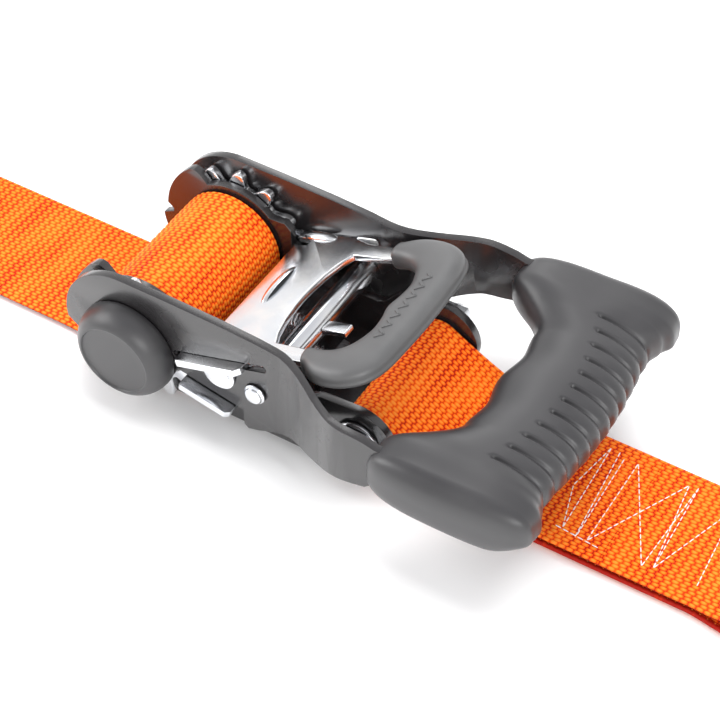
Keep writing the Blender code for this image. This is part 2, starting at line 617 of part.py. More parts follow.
def flared(mesh, side):
    """Slice a flat plate across the bend, then push it outwards."""
    work = bmesh.new()
    work.from_mesh(mesh)
    cuts = 12
    for i in range(cuts + 1):
        x = FLARE_START + (FLARE_END - FLARE_START) * i / cuts
        everything = work.verts[:] + work.edges[:] + work.faces[:]
        bmesh.ops.bisect_plane(work, geom=everything, plane_co=(x, 0, 0), plane_no=(1, 0, 0))
    bmesh.ops.triangulate(work, faces=work.faces)
    for vert in work.verts:
        vert.co.y += side * flare_at(vert.co.x)
    work.to_mesh(mesh)
    work.free()
    return mesh


handle_holes = [
    circle(0, SPOOL_Z, BORE_R, ROUND),
    slot_loop(LEVER_FRAME, ear_front - LEVER_IN + 0.6 * MM, lever_slot_end - PAWL_THICK / 2, PAWL_THICK / 2 + GAP),
    circle(CROSSBAR_X, CROSSBAR_Z, crossbar_pin_r + GAP),
    circle(guide_x, guide_pin_z, guide_pin_r + GAP, 16),
]
for name, side in SIDES:
    plate = side_sheet([handle_outline()] + handle_holes, *span(side, HANDLE_IN, HANDLE_OUT))
    keep(flared(plate, side), f"handle_plate_{name}", BLACK_STEEL, HANDLE)

# ---------------------------------------------------------------- crossbar and guides
tube_half = HANDLE_IN - GAP
tube = side_sheet([circle(CROSSBAR_X, CROSSBAR_Z, CROSSBAR_R, 32),
                   circle(CROSSBAR_X, CROSSBAR_Z, crossbar_pin_r + GAP)], -tube_half, tube_half)
crossbar_along = (LEVER_FRAME.inverted() @ Vector((CROSSBAR_X, 0, CROSSBAR_Z))).x
tongue_drop = (LEVER_FRAME.inverted() @ Vector((CROSSBAR_X, 0, CROSSBAR_Z))).z
tongue_hole = block(crossbar_along - 2 * CROSSBAR_R, crossbar_along + 2 * CROSSBAR_R,
                    -TONGUE_HALF - GAP, TONGUE_HALF + GAP, tongue_drop - TONGUE_THICK / 2 - GAP,
                    tongue_drop + TONGUE_THICK / 2 + GAP, LEVER_FRAME)
keep(combine(tube, "DIFFERENCE", tongue_hole), "crossbar_tube", ZINC, HANDLE)
for name, side in SIDES:
    face = HANDLE_OUT + GAP
    rivet = [(0, face - 14 * MM), (crossbar_pin_r, face - 14 * MM), (crossbar_pin_r, face), (3.9 * MM, face),
             (3.9 * MM, face + 0.7 * MM), (3.1 * MM, face + 1.1 * MM), (3.1 * MM, face + 1.7 * MM),
             (2.3 * MM, face + 2.1 * MM), (0, face + 2.1 * MM)]
    keep(turned(rivet[::-1], side, CROSSBAR_X, CROSSBAR_Z, SMALL_ROUND),
         f"crossbar_rivet_{name}", ZINC, HANDLE)
    guide = [(0, face), (6 * MM, face), (6 * MM, face + 0.8 * MM), (4.7 * MM, face + 0.8 * MM),
             (4.7 * MM, face + 1.7 * MM), (0, face + 1.7 * MM)]
    boss = turned(guide[::-1], side, guide_x, guide_z, 32)
    above_ear = block(20 * MM, 55 * MM, -60 * MM, 60 * MM, -PAWL_THICK / 2 - RUN, 12 * MM, LEVER_FRAME)
    pin = rod(guide_pin_r, *span(side, HANDLE_IN + GAP, face + 0.4 * MM), guide_x, guide_pin_z, 16)
    keep(combine(combine(boss, "DIFFERENCE", above_ear), "UNION", pin), f"lever_guide_{name}", ZINC, HANDLE)

# ---------------------------------------------------------------- release lever
seat_start = 33 * MM
seat_thick = 2 * MM
seat_half = 6 * MM
tongue_end = crossbar_along + CROSSBAR_R + LEVER_IN + 7 * MM
lever_half_width = HANDLE_IN - GAP
arm_in = 24.2 * MM
arm_out = 30.6 * MM
arm_end = 79 * MM
lever_half = [(27 * MM, 0), (27 * MM, WEB_HALF + 0.4 * MM),
              (LOBE_R + LEVER_IN + 0.8 * MM, BASE_IN - 0.5 * MM), (LOBE_R + LEVER_IN + 0.8 * MM, WHEEL_IN - 0.1 * MM),
              (TOOTH_TIP_R + RUN, WHEEL_IN - 0.1 * MM), (TOOTH_TIP_R + RUN, lever_half_width),
              (ear_front, lever_half_width), (ear_front, EAR_REACH - 1 * MM), (ear_front + 1 * MM, EAR_REACH),
              (LEVER_EAR_END - 2 * MM, EAR_REACH), (LEVER_EAR_END, EAR_REACH - 2 * MM),
              (LEVER_EAR_END, lever_half_width), (50 * MM, lever_half_width - 0.6 * MM),
              (55 * MM, arm_out), (arm_end, arm_out), (arm_end, arm_in + 1.6 * MM), (63 * MM, arm_in),
              (52.6 * MM, arm_in - 0.4 * MM), (50.4 * MM, 19 * MM), (48.6 * MM, 12 * MM), (47.7 * MM, 5 * MM),
              (47.5 * MM, 0)]
lever_outline = lever_half[:-1] + [lever_half[-1]] + [(x, -y) for x, y in reversed(lever_half[1:-1])]
lever = cut_sheet([lever_outline], -PAWL_THICK / 2, PAWL_THICK / 2, LEVER_FRAME)
seat = block(seat_start, seat_start + seat_thick, -seat_half, seat_half, tongue_drop - 3.4 * MM, 0,
             LEVER_FRAME)
tongue = block(seat_start + 0.5 * MM, tongue_end, -TONGUE_HALF, TONGUE_HALF,
               tongue_drop - TONGUE_THICK / 2, tongue_drop + TONGUE_THICK / 2, LEVER_FRAME)
keep(combine(lever, "UNION", seat, tongue), "release_lever", ZINC, LEVER)
coil_spring("release_spring", LEVER_FRAME, seat_start + seat_thick, crossbar_along - CROSSBAR_R,
            tongue_drop, spring_r, spring_wire, 5, HANDLE)

# ---------------------------------------------------------------- release loop cover
cover_half_thick = 4.2 * MM
cover_start = 69 * MM
cover_end = 100 * MM
cover_bar = 82.5 * MM            # inner edge of the finger bar
cover_out = 36.4 * MM
cover_in = 26 * MM
cover_half = [(cover_end, 0), (cover_end, 19 * MM)]
cover_half += arc(cover_end - 13 * MM, cover_out - 13 * MM, 13 * MM, 15, 90, 8)
cover_half += [(78 * MM, cover_out), (73 * MM, 35 * MM), (cover_start, 31.8 * MM), (cover_start, 23.2 * MM),
               (73 * MM, 23.6 * MM), (76 * MM, 22.6 * MM), (80.5 * MM, 18 * MM),
               (cover_bar, 11 * MM), (cover_bar - 1.6 * MM, 0)]
cover_outline = cover_half + [(x, -y) for x, y in reversed(cover_half[1:-1])]
cover = cut_sheet([cover_outline], -cover_half_thick, cover_half_thick, LEVER_FRAME)
pockets = [block(cover_start - 2 * MM, arm_end + GAP, *span(side, arm_in - GAP, arm_out + GAP),
                 -PAWL_THICK / 2 - GAP, PAWL_THICK / 2 + GAP, LEVER_FRAME) for _, side in SIDES]
keep(combine(cover, "DIFFERENCE", *pockets), "release_loop_cover", RUBBER, LEVER)

# ---------------------------------------------------------------- grip
grip_half = [(119 * MM, 0), (120.5 * MM, 12 * MM), (118.5 * MM, 24 * MM), (113.5 * MM, 32 * MM),
             (107 * MM, 38.6 * MM), (GRIP_START, 43 * MM), (GRIP_START, 54 * MM),
             (107 * MM, GRIP_HALF_WIDTH), (146 * MM, GRIP_HALF_WIDTH), (153 * MM, 54.5 * MM),
             (157.6 * MM, 49 * MM), (157.6 * MM, 43 * MM), (155 * MM, 37 * MM), (157 * MM, 20 * MM),
             (158 * MM, 0)]
grip_plan = grip_half[:-1] + [grip_half[-1]] + [(x, -y) for x, y in reversed(grip_half[1:-1])]
grip_side = [(GRIP_START, 26 * MM), (107 * MM, 23.4 * MM), (138 * MM, 25.4 * MM), (149 * MM, 28.4 * MM),
             (156.5 * MM, 34 * MM), (158 * MM, 38 * MM), (156 * MM, 42 * MM), (150 * MM, 45.4 * MM),
             (140 * MM, 47 * MM), (108 * MM, 46.6 * MM), (GRIP_START, 44.6 * MM)]
grip = cut_sheet([grip_plan], 20 * MM, 50 * MM, Matrix.Identity(4))
grip = combine(grip, "INTERSECT", side_sheet([grip_side], -60 * MM, 60 * MM))
arm_face_in = HANDLE_IN + FLARE
arm_face_out = HANDLE_OUT + FLARE
arm_pockets = [side_sheet([[(GRIP_START - 1 * MM, 26.1 * MM), (ARM_END + GAP, 28.1 * MM),
                            (ARM_END + GAP, 42.4 * MM), (GRIP_START - 1 * MM, 42.9 * MM)]],
                          *span(side, arm_face_in - GAP, arm_face_out + GAP)) for _, side in SIDES]
rod_x = ARM_END - 7 * MM
rod_z = 35.3 * MM
rod_bore = rod(GRIP_ROD_R + GAP, -arm_face_in, arm_face_in, rod_x, rod_z)
keep(combine(grip, "DIFFERENCE", *arm_pockets, rod_bore), "handle_grip", RUBBER, HANDLE)
keep(rod(GRIP_ROD_R, -arm_face_in + 2 * GAP, arm_face_in - 2 * GAP, rod_x, rod_z),
     "grip_core_rod", ZINC, HANDLE)

# ---------------------------------------------------------------- onto the ground
ROOT.location.z = -GROUND
bpy.context.view_layer.update()
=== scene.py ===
import math

import bmesh
import bpy
from mathutils import Matrix, Vector


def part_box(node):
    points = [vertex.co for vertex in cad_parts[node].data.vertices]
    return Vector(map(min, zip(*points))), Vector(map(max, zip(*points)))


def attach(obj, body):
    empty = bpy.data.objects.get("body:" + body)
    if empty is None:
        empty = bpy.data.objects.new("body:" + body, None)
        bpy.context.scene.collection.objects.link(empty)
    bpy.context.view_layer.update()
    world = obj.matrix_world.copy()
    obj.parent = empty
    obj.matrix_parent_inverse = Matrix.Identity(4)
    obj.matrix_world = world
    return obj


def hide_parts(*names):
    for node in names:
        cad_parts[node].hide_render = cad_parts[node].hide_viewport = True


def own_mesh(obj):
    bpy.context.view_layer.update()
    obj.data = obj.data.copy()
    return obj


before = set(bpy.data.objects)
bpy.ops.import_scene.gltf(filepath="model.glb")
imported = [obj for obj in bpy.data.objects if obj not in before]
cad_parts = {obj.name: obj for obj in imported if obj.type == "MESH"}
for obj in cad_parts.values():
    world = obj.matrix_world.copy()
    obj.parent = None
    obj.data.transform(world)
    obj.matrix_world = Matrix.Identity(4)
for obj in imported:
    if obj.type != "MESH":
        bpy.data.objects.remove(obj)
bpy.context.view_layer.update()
mm = 0.001

# ---------------------------------------------------------------- camera
# A long lens that looks down on the ratchet from the near side and the grip's end.
azimuth, elevation = math.radians(31.44), math.radians(46.27)
look_at = Vector((67.68, -1.02, 22.8)) * mm
back = Vector((math.sin(azimuth) * math.cos(elevation),
               -math.cos(azimuth) * math.cos(elevation), math.sin(elevation)))
camera = bpy.data.objects.new("camera", bpy.data.cameras.new("camera"))
bpy.context.scene.collection.objects.link(camera)
bpy.context.scene.camera = camera
camera.location = look_at + back * 727.8 * mm
camera.rotation_mode = "QUATERNION"
camera.rotation_quaternion = (-back).to_track_quat("-Z", "Y")
camera.data.lens = 110.08
camera.data.sensor_width = 36
camera.data.clip_start = 0.02
camera.data.clip_end = 60
bpy.context.scene.view_settings.view_transform = "Standard"

# ---------------------------------------------------------------- floor
# A white sheet, large enough to have no edge in view.
floor_mesh = bpy.data.meshes.new("studio_floor")
shape = bmesh.new()
bmesh.ops.create_grid(shape, x_segments=2, y_segments=2, size=12)
bmesh.ops.translate(shape, verts=shape.verts, vec=(0, 0, -0.4 * mm))
shape.to_mesh(floor_mesh)
shape.free()
floor = bpy.data.objects.new("studio_floor", floor_mesh)
bpy.context.scene.collection.objects.link(floor)
floor_white = bpy.data.materials.new("floor_white")
floor_white.use_nodes = True
floor_shader = floor_white.node_tree.nodes["Principled BSDF"]
floor_shader.inputs["Base Color"].default_value = (0.93, 0.93, 0.93, 1)
floor_shader.inputs["Roughness"].default_value = 0.9
floor_shader.inputs["Specular IOR Level"].default_value = 0.1
floor_mesh.materials.append(floor_white)

# ---------------------------------------------------------------- studio light
# A white room, brighter low down than overhead, with a large soft box above, one at
# each side and a narrow strip behind.
world = bpy.data.worlds.new("white_room")
bpy.context.scene.world = world
world.use_nodes = True
room = world.node_tree.nodes["Background"]
room.inputs["Strength"].default_value = 1.0
room_nodes, room_links = world.node_tree.nodes, world.node_tree.links
bearing = room_nodes.new("ShaderNodeTexCoord")
height = room_nodes.new("ShaderNodeSeparateXYZ")
fade = room_nodes.new("ShaderNodeValToRGB")
room_links.new(bearing.outputs["Generated"], height.inputs["Vector"])
room_links.new(height.outputs["Z"], fade.inputs["Fac"])
room_links.new(fade.outputs["Color"], room.inputs["Color"])
walls, ceiling = fade.color_ramp.elements
walls.position, walls.color = 0.25, (1.12, 1.12, 1.12, 1)
ceiling.position, ceiling.color = 0.95, (0.62, 0.62, 0.64, 1)
light_aim = Vector((0.06, 0, 0.02))


def soft_box(name, place, wide, high, power, aim=light_aim):
    """One rectangular soft box, aimed at a point."""
    lamp = bpy.data.lights.new(name, "AREA")
    lamp.shape = "RECTANGLE"
    lamp.size = wide
    lamp.size_y = high
    lamp.energy = power
    box = bpy.data.objects.new(name, lamp)
    bpy.context.scene.collection.objects.link(box)
    box.location = place
    box.rotation_mode = "QUATERNION"
    box.rotation_quaternion = (Vector(aim) - Vector(place)).to_track_quat("-Z", "Y")
    return box


overhead = soft_box("overhead_box", (0.1, 0.35, 1.6), 1.3, 1.1, 27)
overhead.visible_glossy = False    # a diffuser: it lights the parts but isn't mirrored in them
soft_box("left_box", (-1.3, -0.5, 0.9), 0.9, 0.9, 10)
soft_box("right_box", (1.1, -1.2, 0.9), 0.9, 0.7, 9)
soft_box("back_strip", (-0.55, 0.9, 0.95), 0.16, 0.9, 1.6, aim=(0.1, 0, 0.02))

# ---------------------------------------------------------------- pressed steel frame and handle plates
# Low-carbon steel sheet, 3 mm thick, stamped and bent, then painted black in a satin
# finish that is rubbed thin along its sheared edges.
spool_z = 25.2 * mm                # the spool axis, above the ground


def new_material(name, colour, roughness, metallic=0.0):
    """A material with a Principled shader, ready for its pattern."""
    made = bpy.data.materials.new(name)
    made.use_nodes = True
    shader = made.node_tree.nodes["Principled BSDF"]
    shader.inputs["Base Color"].default_value = (*colour, 1)
    shader.inputs["Roughness"].default_value = roughness
    shader.inputs["Metallic"].default_value = metallic
    return made, made.node_tree, shader


def add_noise(tree, scale, detail, stretch=(1, 1, 1)):
    """A noise pattern on the piece's own coordinates."""
    place = tree.nodes.new("ShaderNodeTexCoord")
    turn = tree.nodes.new("ShaderNodeMapping")
    turn.inputs["Scale"].default_value = stretch
    grain = tree.nodes.new("ShaderNodeTexNoise")
    grain.inputs["Scale"].default_value = scale
    grain.inputs["Detail"].default_value = detail
    tree.links.new(place.outputs["Object"], turn.inputs["Vector"])
    tree.links.new(turn.outputs["Vector"], grain.inputs["Vector"])
    return grain


def add_ramp(tree, source, stops):
    """A colour ramp from a value: stops are (position, colour)."""
    ramp = tree.nodes.new("ShaderNodeValToRGB")
    band = ramp.color_ramp
    while len(band.elements) < len(stops):
        band.elements.new(0.5)
    for element, (position, colour) in zip(band.elements, stops):
        element.position = position
        element.color = (*colour, 1)
    tree.links.new(source, ramp.inputs["Fac"])
    return ramp.outputs["Color"]


def add_bump(tree, shader, height, strength, distance):
    """Fine relief from a value."""
    relief = tree.nodes.new("ShaderNodeBump")
    relief.inputs["Strength"].default_value = strength
    relief.inputs["Distance"].default_value = distance
    tree.links.new(height, relief.inputs["Height"])
    tree.links.new(relief.outputs["Normal"], shader.inputs["Normal"])
    return relief


def vary_roughness(tree, shader, source, low, high):
    """Roughness that goes from low to high with a noise pattern."""
    spread = tree.nodes.new("ShaderNodeMapRange")
    spread.inputs["From Min"].default_value = 0.3
    spread.inputs["From Max"].default_value = 0.7
    spread.inputs["To Min"].default_value = low
    spread.inputs["To Max"].default_value = high
    tree.links.new(source, spread.inputs["Value"])
    tree.links.new(spread.outputs["Result"], shader.inputs["Roughness"])


def edge_wear(tree):
    """A value that rises on the outward bends of a shape."""
    form = tree.nodes.new("ShaderNodeNewGeometry")
    wear = tree.nodes.new("ShaderNodeMapRange")
    wear.inputs["From Min"].default_value = 0.55
    wear.inputs["From Max"].default_value = 0.64
    tree.links.new(form.outputs["Pointiness"], wear.inputs["Value"])
    return wear.outputs["Result"]


black_paint, tree, shader = new_material("black_satin_paint", (0.07, 0.067, 0.07), 0.36)
cloudy = add_noise(tree, 60, 4)
speckle = add_noise(tree, 2600, 3)
tone = add_ramp(tree, cloudy.outputs["Fac"],
                [(0.3, (0.014, 0.013, 0.014)), (0.7, (0.022, 0.020, 0.021))])
rubbed = tree.nodes.new("ShaderNodeMix")
rubbed.data_type = "RGBA"
tree.links.new(edge_wear(tree), rubbed.inputs["Factor"])
tree.links.new(tone, rubbed.inputs["A"])
rubbed.inputs["B"].default_value = (0.045, 0.04, 0.04, 1)
tree.links.new(rubbed.outputs["Result"], shader.inputs["Base Color"])
vary_roughness(tree, shader, cloudy.outputs["Fac"], 0.20, 0.30)
add_bump(tree, shader, speckle.outputs["Fac"], 0.10, 0.05 * mm)
shader.inputs["Specular IOR Level"].default_value = 0.85
shader.inputs["Coat Weight"].default_value = 0.2
shader.inputs["Coat Roughness"].default_value = 0.22


def finished_copy(node, body, material, round_over, sharp=32):
    """The CAD piece with its sheared edges rounded over, in its place."""
    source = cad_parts[node]
    mesh = source.data.copy()
    mesh.name = f"{node}_finished"
    shape = bmesh.new()
    shape.from_mesh(mesh)
    bmesh.ops.remove_doubles(shape, verts=shape.verts, dist=2e-6)
    bmesh.ops.dissolve_limit(shape, angle_limit=math.radians(0.5), verts=shape.verts,
                             edges=shape.edges)
    shape.to_mesh(mesh)
    shape.free()
    piece = bpy.data.objects.new(mesh.name, mesh)
    bpy.context.scene.collection.objects.link(piece)
    mesh.materials.clear()
    mesh.materials.append(material)
    mesh.shade_smooth()
    if round_over:
        soften = piece.modifiers.new("sheared_edges", "BEVEL")
        soften.width = round_over
        soften.segments = 3
        soften.limit_method = "ANGLE"
        soften.angle_limit = math.radians(sharp)
        soften.harden_normals = True
        soften.use_clamp_overlap = True
    else:
        mesh.set_sharp_from_angle(angle=math.radians(sharp))
    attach(piece, body)
    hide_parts(node)
    return piece


finished_copy("base_frame", "base", black_paint, 0.35 * mm)
for side in ("near", "far"):
    finished_copy(f"handle_plate_{side}", "handle", black_paint, 0.45 * mm)

# ---------------------------------------------------------------- zinc-plated steel
# The bolt, spool, wheels, pawls, studs, springs and hooks: bright zinc over steel,
# with soft cloudy patches and fine drawing marks.
zinc, tree, shader = new_material("bright_zinc", (0.74, 0.75, 0.77), 0.24, 1.0)
patches = add_noise(tree, 90, 3)
marks = add_noise(tree, 900, 4, stretch=(1, 0.12, 1))
tone = add_ramp(tree, patches.outputs["Fac"],
                [(0.30, (0.80, 0.82, 0.86)), (0.55, (0.88, 0.89, 0.91)), (0.72, (0.95, 0.95, 0.95))])
tree.links.new(tone, shader.inputs["Base Color"])
vary_roughness(tree, shader, patches.outputs["Fac"], 0.15, 0.25)
add_bump(tree, shader, marks.outputs["Fac"], 0.06, 0.05 * mm)

for node, body, rounding in (
        ("anchor_bolt", "base", 0.4), ("anchor_cap_nut", "base", 0.3),
        ("anchor_washer_near", "base", 0.25), ("anchor_washer_far", "base", 0.25),
        ("anchor_sleeve", "base", 0.2), ("stop_pawl", "stop", 0.5),
        ("mandrel_upper_half", "spool", 0.3), ("mandrel_lower_half", "spool", 0.3),
        ("ratchet_wheel_near", "spool", 0.55), ("ratchet_wheel_far", "spool", 0.55),
        ("spool_washer_near", "spool", 0.2), ("spool_washer_far", "spool", 0.2),
        ("spool_clip_near", "spool", 0.2), ("spool_clip_far", "spool", 0.2),
        ("crossbar_tube", "handle", 0.0), ("crossbar_rivet_near", "handle", 0.3),
        ("crossbar_rivet_far", "handle", 0.3), ("lever_guide_near", "handle", 0.2),
        ("lever_guide_far", "handle", 0.2), ("grip_core_rod", "handle", 0.3),
        ("release_lever", "release", 0.45)):
    finished_copy(node, body, zinc, rounding * mm)
stop_spring = finished_copy("stop_pawl_spring", "base", zinc, 0, sharp=60)
lever_spring = finished_copy("release_spring", "handle", zinc, 0, sharp=60)
dull_zinc, tree, shader = new_material("dull_zinc_wire", (0.50, 0.50, 0.51), 0.36, 1.0)
patches = add_noise(tree, 140, 3)
tone = add_ramp(tree, patches.outputs["Fac"], [(0.3, (0.42, 0.42, 0.44)), (0.7, (0.56, 0.56, 0.56))])
tree.links.new(tone, shader.inputs["Base Color"])
vary_roughness(tree, shader, patches.outputs["Fac"], 0.30, 0.42)
finished_copy("short_end_hook", "short_hook", dull_zinc, 0, sharp=60)
finished_copy("long_end_hook", "long_hook", dull_zinc, 0, sharp=60)

# ---------------------------------------------------------------- hub caps
# Moulded rubber caps pressed over the ends of the spool: a domed flank, a soft
# shoulder and a flat face sunk inside a thin rim.
rubber, tree, shader = new_material("black_rubber", (0.062, 0.061, 0.063), 0.46)
soft_tone = add_noise(tree, 45, 3)
pebble = add_noise(tree, 3200, 2)
tone = add_ramp(tree, soft_tone.outputs["Fac"],
                [(0.3, (0.024, 0.023, 0.025)), (0.7, (0.034, 0.033, 0.035))])
tree.links.new(tone, shader.inputs["Base Color"])
vary_roughness(tree, shader, soft_tone.outputs["Fac"], 0.36, 0.48)
add_bump(tree, shader, pebble.outputs["Fac"], 0.10, 0.05 * mm)
shader.inputs["Specular IOR Level"].default_value = 0.7
shader.inputs["Coat Weight"].default_value = 0.2
shader.inputs["Coat Roughness"].default_value = 0.26

cap_profile = [(15.0, 36.3), (17.7, 36.3), (18.0, 36.7), (18.05, 37.8), (17.9, 39.4), (17.5, 41.0),
               (16.9, 42.5), (16.1, 43.8), (15.2, 44.8), (14.3, 45.5), (13.6, 45.85), (13.25, 45.9),
               (13.05, 45.8), (12.95, 45.5), (12.8, 45.3), (12.4, 45.25), (9.0, 45.3), (4.0, 45.33),
               (0.0, 45.35)]
cap_hollow = [(0.0, 41.0), (15.0, 41.0)]


def new_piece(name, shape, material, smooth=True):
    """A linked object made from a finished bmesh."""
    mesh = bpy.data.meshes.new(name)
    shape.to_mesh(mesh)
    shape.free()
    mesh.materials.append(material)
    if smooth:
        mesh.shade_smooth()
    piece = bpy.data.objects.new(name, mesh)
    bpy.context.scene.collection.objects.link(piece)
    return piece


def spun(name, profile, side, x, z, steps=96):
    """A closed rubber shape turned round a Y axis from (radius, outward) points."""
    shape = bmesh.new()
    ring = [shape.verts.new((r * mm, side * out * mm, 0)) for r, out in profile]
    edges = [shape.edges.new(pair) for pair in zip(ring, ring[1:])]
    if profile[0][0] > 0 or profile[-1][0] > 0:
        edges.append(shape.edges.new((ring[-1], ring[0])))
    bmesh.ops.spin(shape, geom=ring + edges, cent=(0, 0, 0), axis=(0, 1, 0), angle=2 * math.pi,
                   steps=steps, use_merge=True, use_duplicate=False)
    bmesh.ops.remove_doubles(shape, verts=shape.verts, dist=1e-6)
    bmesh.ops.recalc_face_normals(shape, faces=shape.faces)
    bmesh.ops.translate(shape, verts=shape.verts, vec=(x, 0, z))
    return new_piece(name, shape, rubber)


for name, side in (("near", -1), ("far", 1)):
    cap = spun(f"hub_cap_{name}_moulded", cap_profile + cap_hollow, side, 0, spool_z)
    cap.data.set_sharp_from_angle(angle=math.radians(50))
    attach(cap, "spool")
    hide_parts(f"hub_cap_{name}")

# ---------------------------------------------------------------- webbing
# 50 mm polyester tape, 2.3 mm thick: 36 warp cords side by side, each rising over one
# weft pick and under the next, a quarter step out of time with its neighbours.
web_half = 25 * mm
web_thick = 2.3 * mm
cords = 36
cord_steps, pick_steps = 2, 4      # mesh steps in a cord's width and in a pick
pick = 2.8 * mm
crown = 0.4 * mm

woven, tree, shader = new_material("orange_woven_polyester", (0.85, 0.14, 0.008), 0.62)
chart = tree.nodes.new("ShaderNodeUVMap")
chart.uv_map = "weave"
split = tree.nodes.new("ShaderNodeSeparateXYZ")
tree.links.new(chart.outputs["UV"], split.inputs["Vector"])


def sum_node(operation, first, second=None, third=None):
    """One Math node: each input is a socket or a number."""
    step = tree.nodes.new("ShaderNodeMath")
    step.operation = operation
    for socket, value in zip(step.inputs, (first, second, third)):
        if value is None:
            continue
        if isinstance(value, (int, float)):
            socket.default_value = value
        else:
            tree.links.new(value, socket)
    return step.outputs["Value"]


along, across = split.outputs["X"], split.outputs["Y"]
stagger = sum_node("MULTIPLY", sum_node("MODULO", sum_node("FLOOR", across), 2), 0.25)
over = sum_node("MULTIPLY", sum_node("ADD", along, stagger), math.pi)
over = sum_node("ABSOLUTE", sum_node("SINE", over))
round_cord = sum_node("ABSOLUTE", sum_node("SINE", sum_node("MULTIPLY", across, math.pi)))
knuckle = sum_node("MULTIPLY", sum_node("POWER", round_cord, 0.45),
                   sum_node("MULTIPLY_ADD", over, 0.85, 0.15))
fibres = tree.nodes.new("ShaderNodeTexNoise")
fibres.inputs["Scale"].default_value = 1
fibres.inputs["Detail"].default_value = 3
comb = tree.nodes.new("ShaderNodeMapping")
comb.inputs["Scale"].default_value = (2.2, 26, 1)
tree.links.new(chart.outputs["UV"], comb.inputs["Vector"])
tree.links.new(comb.outputs["Vector"], fibres.inputs["Vector"])
creases = tree.nodes.new("ShaderNodeTexNoise")
creases.inputs["Scale"].default_value = 1
creases.inputs["Detail"].default_value = 2
bar = tree.nodes.new("ShaderNodeMapping")
bar.inputs["Scale"].default_value = (0.28, 0.03, 1)
tree.links.new(chart.outputs["UV"], bar.inputs["Vector"])
tree.links.new(bar.outputs["Vector"], creases.inputs["Vector"])
# Painted light: this value also sets the colour. It is the weave's relief with fibre and crease noise,
# so the gaps between knuckles and the crease bands get painted shade and the knuckle tops a painted
# highlight. The same value drives the bump.
shade = sum_node("ADD", knuckle, sum_node("MULTIPLY_ADD", fibres.outputs["Fac"], 0.40, -0.20))
shade = sum_node("ADD", shade, sum_node("MULTIPLY_ADD", creases.outputs["Fac"], 0.9, -0.42))
tone = add_ramp(tree, shade, [(0.12, (0.40, 0.008, 0.0006)), (0.34, (0.84, 0.058, 0.001)),
                              (0.62, (1.0, 0.170, 0.005)), (1.0, (1.0, 0.285, 0.030))])
tree.links.new(tone, shader.inputs["Base Color"])
add_bump(tree, shader, shade, 0.7, 0.35 * mm)
shader.inputs["Specular IOR Level"].default_value = 0.22


def round_route(points, passes=3):
    """Cuts the corners of an open run of points until it is smooth."""
    for _ in range(passes):
        cut = [points[0]]
        for a, b in zip(points, points[1:]):
            cut += [a.lerp(b, 0.25), a.lerp(b, 0.75)]
        points = cut + [points[-1]]
    return points


def route_arc(x, z, radius, start, end, steps=24):
    """Points of an arc round (x, z), from one angle in degrees to another."""
    return [Vector((x + radius * math.cos(math.radians(start + (end - start) * i / steps)), 0,
                    z + radius * math.sin(math.radians(start + (end - start) * i / steps))))
            for i in range(steps + 1)]


def even_route(points, step):
    """The same route with points at equal steps, and its whole length."""
    length = sum((b - a).length for a, b in zip(points, points[1:]))
    count = max(2, round(length / step))
    step = length / count
    even = [points[0]]
    travelled = 0
    for a, b in zip(points, points[1:]):
        gap = (b - a).length
        while gap > 0 and len(even) * step <= travelled + gap + 1e-9 and len(even) <= count:
            even.append(a.lerp(b, (len(even) * step - travelled) / gap))
        travelled += gap
    while len(even) <= count:
        even.append(points[-1])
    return even, length


def woven_tape(name, route, outward, fine=True, skew=None):
    """Tape along a route in X and Z. outward is the side its upper face looks to,
    +1 for the left of the way the route runs."""
    step = pick / pick_steps if fine else pick * 1.5
    even, length = even_route(route, step)
    run = len(even) - 1
    wide = cords * cord_steps if fine else 8
    shape = bmesh.new()
    chart = shape.loops.layers.uv.new("weave")
    bmesh.ops.create_grid(shape, x_segments=run, y_segments=wide, size=1, calc_uvs=True)
    picks = length / pick
    swell = [math.sin(math.pi * j / cord_steps) for j in range(cord_steps)]
    wave = [math.sin(math.pi * i / pick_steps) for i in range(pick_steps)]
    for vert in shape.verts:
        i = round((vert.co.x + 1) / 2 * run)
        j = round((vert.co.y + 1) / 2 * wide)
        before, after = even[max(i - 1, 0)], even[min(i + 1, run)]
        ahead = (after - before).normalized()
        out = Vector((-ahead.z, 0, ahead.x)) * outward
        height = 0
        if fine:
            odd = (j // cord_steps) % 2
            rise = wave[(i + odd) % pick_steps]
            height = crown * (swell[j % cord_steps] * (0.35 + 0.65 * rise) - 1)
            edge = abs(j - wide / 2) / (wide / 2)
            height -= 0.35 * mm * max(0, edge - 0.955) / 0.045
        place = even[i] + out * height
        y = (j / wide * 2 - 1) * web_half
        vert.co = (place.x, y + (skew(place.x) if skew else 0), place.z)
    for face in shape.faces:
        for loop in face.loops:
            u, v = loop[chart].uv
            loop[chart].uv = (u * (run / pick_steps if fine else picks), v * cords)
    shape.normal_update()
    shape.faces.ensure_lookup_table()
    middle = shape.faces[len(shape.faces) // 2]
    spot = middle.calc_center_median()
    near = min(range(1, run), key=lambda i: (even[i].x - spot.x) ** 2 + (even[i].z - spot.z) ** 2)
    ahead = (even[near + 1] - even[near - 1]).normalized()
    if middle.normal.dot(Vector((-ahead.z, 0, ahead.x)) * outward) < 0:
        bmesh.ops.reverse_faces(shape, faces=shape.faces)
    piece = new_piece(name, shape, woven)
    body = piece.modifiers.new("tape_thickness", "SOLIDIFY")
    body.thickness = web_thick - (crown if fine else 0.1 * mm)
    body.offset = -1
    return piece, length


# The short webbing: one band, doubled, round the anchor sleeve and the hook's eye.
anchor_x, anchor_z, loop_r = 84 * mm, 19.6 * mm, 8.6 * mm
eye_x, eye_z, eye_r = 232 * mm, 6.7 * mm, 6.6 * mm
double = 4.8 * mm
sewn_middle = 168 * mm


